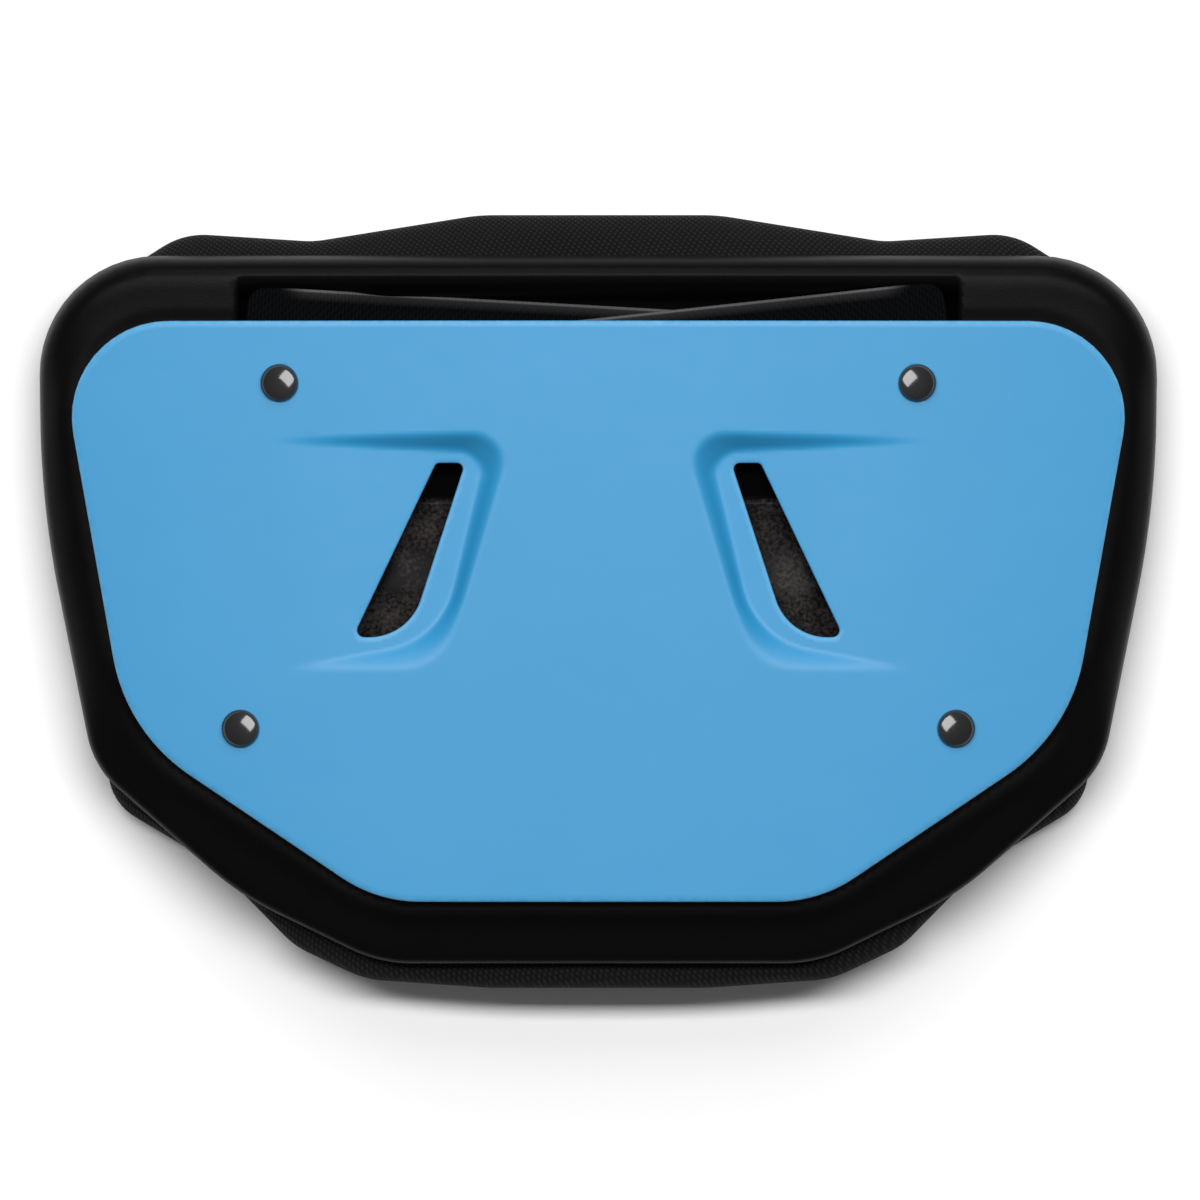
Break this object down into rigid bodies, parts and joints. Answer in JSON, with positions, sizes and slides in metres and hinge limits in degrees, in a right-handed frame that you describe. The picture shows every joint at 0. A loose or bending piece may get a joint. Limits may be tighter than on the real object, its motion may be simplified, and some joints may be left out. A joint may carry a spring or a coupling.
{
  "type": "football back plate",
  "caption": "Curved back protector: a riveted plastic plate with scooped vents on a foam carrier with a mesh lining pad and tucked straps.",
  "frame": {"origin": "on the resting surface, under the middle of the whole thing", "axes": "+X across the wearer's back, to the right as seen from behind it; +Y up the back, towards the neck; +Z out of the back"},
  "size_m": [0.3506, 0.2424, 0.0489],
  "materials": {
    "sky_blue_plastic": "satin gloss moulded plastic",
    "black_foam": "smooth skinned moulded foam",
    "black_mesh_cloth": "dotted spacer mesh",
    "black_webbing": "flat woven webbing",
    "black_rivet": "glossy domed cap"
  },
  "bodies": {
    "root": {"outer_plate": "sky_blue_plastic", "foam_carrier": "black_foam", "mesh_pad": "black_mesh_cloth", "strap_left": "black_webbing", "strap_right": "black_webbing", "rivet_upper_left": "black_rivet", "rivet_upper_right": "black_rivet", "rivet_lower_left": "black_rivet", "rivet_lower_right": "black_rivet"}
  },
  "joints": []
}
